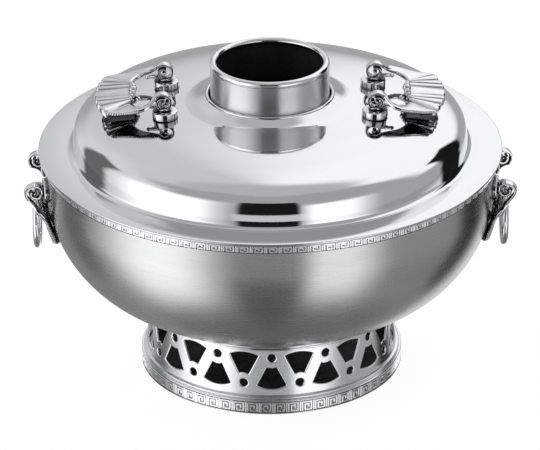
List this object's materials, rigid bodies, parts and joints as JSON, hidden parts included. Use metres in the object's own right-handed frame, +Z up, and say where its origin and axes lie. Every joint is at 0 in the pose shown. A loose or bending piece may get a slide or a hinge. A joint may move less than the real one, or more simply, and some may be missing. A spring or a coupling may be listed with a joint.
{
  "type": "chimney hot pot",
  "caption": "Round steel hot pot on a pierced foot, with a charcoal chimney up its middle, a lift-off ring-shaped lid, palmette handles and loose carrying rings.",
  "frame": {"origin": "centre of the foot ring's underside, on the table", "axes": "+Z up the chimney; the handles, lugs and rings lie on the X axis; +Y is away from the viewer"},
  "size_m": [0.3158, 0.3, 0.2119],
  "materials": {
    "brushed_bowl": "satin brushed stainless steel",
    "polished_steel": "mirror polished stainless steel",
    "satin_trim": "bright satin stainless steel",
    "polished_casting": "polished cast metal, dark in its hollows",
    "dark_iron": "matt, sooty",
    "fasteners": "plain steel"
  },
  "bodies": {
    "base": {"bowl": "brushed_bowl", "rim_band": "satin_trim", "foot_shell": "satin_trim", "foot_ring": "satin_trim", "foot_bead": "satin_trim", "ash_pan": "dark_iron", "firebox": "brushed_bowl", "chimney_tube": "polished_steel", "chimney_bead": "polished_steel", "fire_grate": "dark_iron", "left_lug": "polished_casting", "right_lug": "polished_casting", "left_lug_feet": "polished_casting", "right_lug_feet": "polished_casting", "lug_screws": "fasteners", "left_stud": "polished_casting", "right_stud": "polished_casting", "stud_nuts": "fasteners", "left_ring_eye": "polished_casting", "right_ring_eye": "polished_casting", "eye_nuts": "fasteners"},
    "left_ring": {"left_ring": "polished_casting"},
    "right_ring": {"right_ring": "polished_casting"},
    "lid": {"lid_shell": "polished_steel", "lid_collar": "polished_steel", "lid_locating_ring": "brushed_bowl", "left_handle": "polished_casting", "right_handle": "polished_casting", "left_handle_feet": "polished_casting", "right_handle_feet": "polished_casting", "lid_screws": "fasteners"}
  },
  "joints": [
    {"name": "lid_lift", "type": "slide", "parent": "base", "child": "lid", "axis": [0, 0, 1], "range_m": [0, 0.06]},
    {"name": "right_ring_swing", "type": "hinge", "parent": "base", "child": "right_ring", "pos_m": [0.152, 0, 0.1208], "axis": [0, -1, 0], "range_deg": [-12, 100]},
    {"name": "left_ring_swing", "type": "hinge", "parent": "base", "child": "left_ring", "pos_m": [-0.152, 0, 0.1208], "axis": [0, 1, 0], "range_deg": [-12, 100]}
  ]
}
